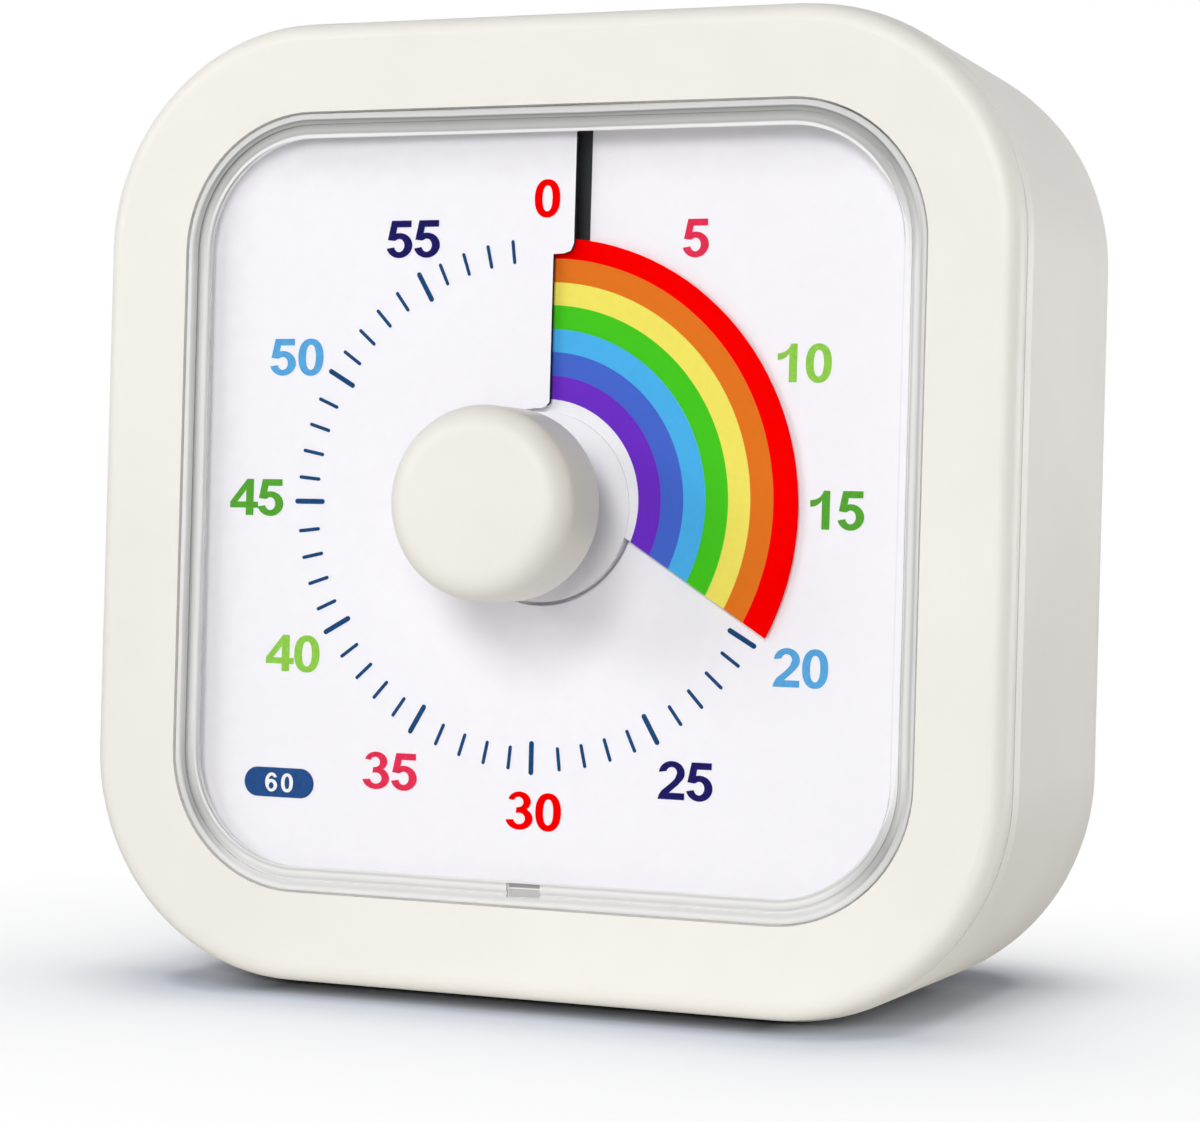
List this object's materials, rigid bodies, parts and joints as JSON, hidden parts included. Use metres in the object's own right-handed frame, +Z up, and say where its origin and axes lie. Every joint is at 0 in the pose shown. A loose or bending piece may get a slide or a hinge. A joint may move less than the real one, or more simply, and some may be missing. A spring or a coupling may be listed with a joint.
{
  "type": "visual countdown timer",
  "caption": "Square rounded case with a clear recessed window, numbered slit dial, rainbow disc fed out of the slit by a round centre knob, and a quartz gear train behind.",
  "frame": {"origin": "middle of the overall box in X and Y at the bottom of the case (Z = 0 is the surface it stands on)", "axes": "+Z up, the dial and knob face -Y, +X to the right seen from the front; the knob turns about the Y direction at X = 0, Z = 45 mm"},
  "size_m": [0.09, 0.0508, 0.09],
  "materials": {
    "case_cream": "fine satin moulding, warm off-white",
    "window_clear": "clear polished plastic",
    "card_white": "printed white card, cool white",
    "ramp_white": "plain white moulding",
    "film_rainbow": "seven printed bands, red at the rim to violet at the hub",
    "hub_white": "plain white moulding",
    "knob_cream": "satin moulding, warm off-white",
    "spindle_steel": "turned",
    "wheel_acetal": "natural acetal",
    "spring_brass": "sheet brass",
    "rotor_magnet": "dark magnet on a steel arbor",
    "chassis_grey": "plain moulding",
    "movement_white": "plain moulding",
    "screw_steel": "zinc plated",
    "board_green": "solder mask",
    "chip_black": "resin drop",
    "crystal_can": "drawn can",
    "stator_iron": "stamped iron",
    "coil_copper": "enamelled copper wire",
    "buzzer_black": "moulded",
    "switch_black": "moulded",
    "switch_grey": "moulded",
    "cell_jacket": "plain shrink sleeve, no print",
    "contact_nickel": "nickel plated sheet"
  },
  "bodies": {
    "case": {"front_bezel": "case_cream", "rear_shell": "case_cream", "lens": "window_clear", "dial_card": "card_white", "dial_ramp": "ramp_white", "chassis_plate": "chassis_grey", "movement_front": "movement_white", "movement_rear": "movement_white", "movement_screws": "screw_steel", "case_screws": "screw_steel", "circuit_board": "board_green", "timer_chip": "chip_black", "quartz_crystal": "crystal_can", "stator": "stator_iron", "motor_coil": "coil_copper", "buzzer": "buzzer_black", "switch_body": "switch_black", "aa_cell": "cell_jacket", "contact_positive": "contact_nickel", "contact_negative": "contact_nickel"},
    "knob": {"knob": "knob_cream", "spindle": "spindle_steel", "centre_wheel": "wheel_acetal", "clutch_spring": "spring_brass"},
    "film": {"rainbow_film": "film_rainbow", "film_hub": "hub_white"},
    "third_wheel": {"third_wheel": "wheel_acetal"},
    "fourth_wheel": {"fourth_wheel": "wheel_acetal"},
    "rotor": {"rotor": "rotor_magnet"},
    "battery_door": {"battery_door": "case_cream"},
    "sound_switch": {"sound_switch": "switch_grey"}
  },
  "joints": [
    {"name": "knob_turn", "type": "hinge", "parent": "case", "child": "knob", "pos_m": [0, 0, 0.045], "axis": [0, 1, 0], "range_deg": [-120, 240]},
    {"name": "film_feed", "type": "slide", "parent": "knob", "child": "film", "axis": [0, -1, 0], "range_m": [-0.00047, 0.00093]},
    {"name": "third_wheel_spin", "type": "hinge", "parent": "case", "child": "third_wheel", "pos_m": [0.00935, 0, 0.0504], "axis": [0, 1, 0], "range_deg": [-1920, 960]},
    {"name": "fourth_wheel_spin", "type": "hinge", "parent": "case", "child": "fourth_wheel", "pos_m": [0.00425, 0, 0.05923], "axis": [0, 1, 0], "range_deg": [-7200, 14400]},
    {"name": "rotor_spin", "type": "hinge", "parent": "case", "child": "rotor", "pos_m": [0.00062, 0, 0.06133], "axis": [0, 1, 0], "range_deg": [-36000, 18000]},
    {"name": "battery_door_swing", "type": "hinge", "parent": "case", "child": "battery_door", "pos_m": [0, 0.02535, 0.00775], "axis": [-1, 0, 0], "range_deg": [0, 80]},
    {"name": "sound_switch_slide", "type": "slide", "parent": "case", "child": "sound_switch", "axis": [1, 0, 0], "range_m": [-0.002, 0.002]}
  ],
  "couplings": [
    {"joint": "film_feed", "follows": "knob_turn", "m_per_rad": 0.00022282},
    {"joint": "third_wheel_spin", "follows": "knob_turn", "ratio": -8},
    {"joint": "fourth_wheel_spin", "follows": "knob_turn", "ratio": 60},
    {"joint": "rotor_spin", "follows": "knob_turn", "ratio": -150}
  ]
}
